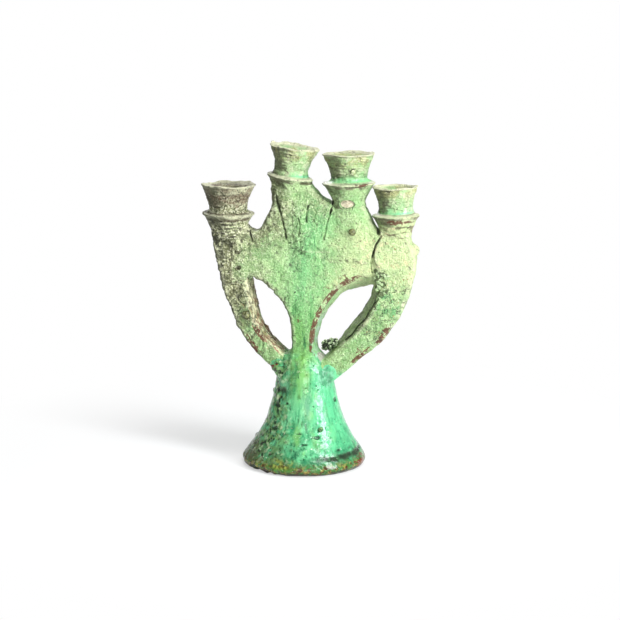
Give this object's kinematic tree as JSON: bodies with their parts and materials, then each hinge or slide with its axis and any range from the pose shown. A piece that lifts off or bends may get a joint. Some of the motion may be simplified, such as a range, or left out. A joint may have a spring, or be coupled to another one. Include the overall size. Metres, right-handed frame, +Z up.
{
  "type": "clay candelabra",
  "caption": "Hand-built green-glazed clay candelabra: a hollow conical foot, a fan-shaped stem slab, curved arms and thrown spool-shaped candle cups, branching like a small tree.",
  "frame": {"origin": "middle of the foot's resting ring, on the surface that the candelabra stands on", "axes": "+Z up, +X to the right and +Y to the back as the candelabra is looked at from its front; the slab members lie in the XZ plane"},
  "size_m": [0.2021, 0.1161, 0.3008],
  "materials": {
    "foot_glaze": "thick glossy emerald copper-green glaze with pale runs, brown where it thins at the rim",
    "fan_glaze": "satin pale green glaze with a matt crust, fine dark pits and specks",
    "arm_glaze": "crusty grey-green to yellow-green glaze, red-brown clay bare along the edges",
    "cup_glaze": "thin matt grey-green glaze over throwing rings, dark specks",
    "kiln_crumb": "rough dark crumbs of kiln grit half drowned in glaze"
  },
  "bodies": {
    "root": {"centre_web": "fan_glaze", "crotch_clump": "kiln_crumb", "fan_edge_crust": "kiln_crumb", "foot": "foot_glaze", "foot_pellet": "foot_glaze", "left_arm_pellet": "arm_glaze", "left_crotch_wedge": "fan_glaze", "left_flank_web": "fan_glaze", "left_inner_branch": "fan_glaze", "left_inner_cup": "cup_glaze", "left_outer_arm": "arm_glaze", "left_outer_cup": "cup_glaze", "left_root_wad": "foot_glaze", "right_arm_knob": "arm_glaze", "right_branch_pellet": "fan_glaze", "right_flank_web": "fan_glaze", "right_inner_branch": "fan_glaze", "right_inner_cup": "cup_glaze", "right_inner_cup_pellet": "cup_glaze", "right_outer_arm": "arm_glaze", "right_outer_cup": "cup_glaze", "right_root_wad": "foot_glaze", "stem_fan": "fan_glaze", "stem_root_collar": "foot_glaze"}
  },
  "joints": []
}
